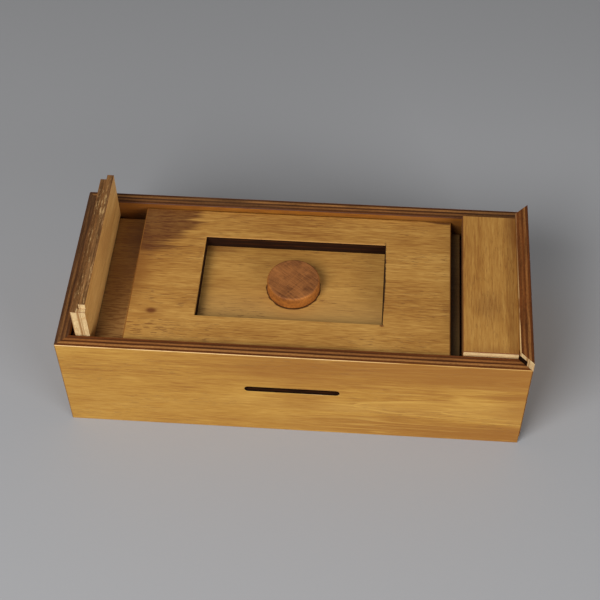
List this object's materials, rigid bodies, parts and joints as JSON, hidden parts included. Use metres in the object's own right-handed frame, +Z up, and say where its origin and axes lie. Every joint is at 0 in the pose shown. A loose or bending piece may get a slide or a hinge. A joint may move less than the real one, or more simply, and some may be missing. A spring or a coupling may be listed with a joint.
{
  "type": "wooden puzzle box",
  "caption": "Half-opened stained plywood puzzle coin box: mitred walls, coin slot, end panel that slides up, loose tongued lock strip and a framed lid with a round knob that lifts out.",
  "frame": {"origin": "middle of the footprint, on the surface that the box stands on", "axes": "+Z up, +X along the box towards its sliding end, -Y out of the front with the coin slot"},
  "size_m": [0.18, 0.0796, 0.0656],
  "materials": {
    "stained_plywood": "stained and waxed, dark edges",
    "lid_plywood": "stained and waxed, dark edges",
    "strip_plywood": "stained and waxed, bare ends",
    "inner_plywood": "bare",
    "knob_wood": "red-brown stain, satin",
    "screw_steel": "zinc plated"
  },
  "bodies": {
    "box": {"front_wall": "stained_plywood", "back_wall": "stained_plywood", "left_wall": "stained_plywood", "bottom_panel": "inner_plywood", "front_rail": "inner_plywood", "back_rail": "inner_plywood", "front_left_spline": "inner_plywood", "back_left_spline": "inner_plywood", "front_guide_spline": "inner_plywood", "back_guide_spline": "inner_plywood"},
    "sliding_end": {"end_panel": "stained_plywood", "end_strip": "strip_plywood"},
    "lid": {"lid_frame": "lid_plywood", "lid_panel": "lid_plywood", "knob": "knob_wood", "knob_screw": "screw_steel"},
    "loose_strip": {"lock_strip": "strip_plywood"}
  },
  "joints": [
    {"name": "end_panel_lift", "type": "slide", "parent": "box", "child": "sliding_end", "axis": [0, 0, 1], "range_m": [-0.0044, 0.0019]},
    {"name": "lid_lift", "type": "slide", "parent": "box", "child": "lid", "axis": [0, 0, 1], "range_m": [0, 0.04]},
    {"name": "lock_strip_lift", "type": "slide", "parent": "lid", "child": "loose_strip", "axis": [0, 0, 1], "range_m": [0, 0.03]}
  ]
}
